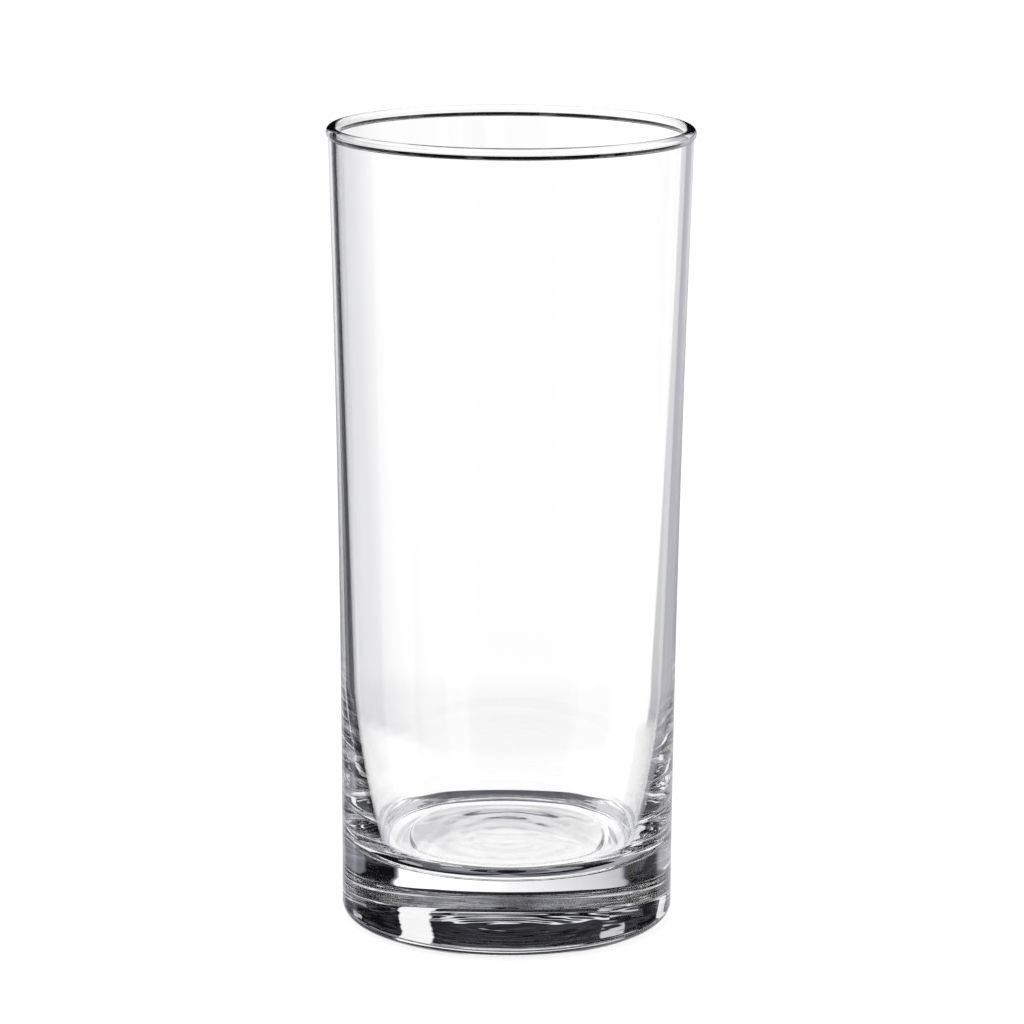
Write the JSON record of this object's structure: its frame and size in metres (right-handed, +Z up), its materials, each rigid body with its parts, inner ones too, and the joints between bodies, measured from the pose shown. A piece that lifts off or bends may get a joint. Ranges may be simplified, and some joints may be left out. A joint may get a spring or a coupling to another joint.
{
  "type": "highball glass",
  "caption": "Tall clear highball glass with a beaded rim, a gently flared side that thickens downwards and a heavy base, for long drinks.",
  "frame": {"origin": "on the table, under the middle of the foot", "axes": "+Z up along the axis of the glass; X and Y are free, because the glass is round"},
  "size_m": [0.068, 0.068, 0.15],
  "materials": {
    "clear_glass": "clear soda-lime glass, fire-polished"
  },
  "bodies": {
    "root": {"highball_glass": "clear_glass"}
  },
  "joints": []
}
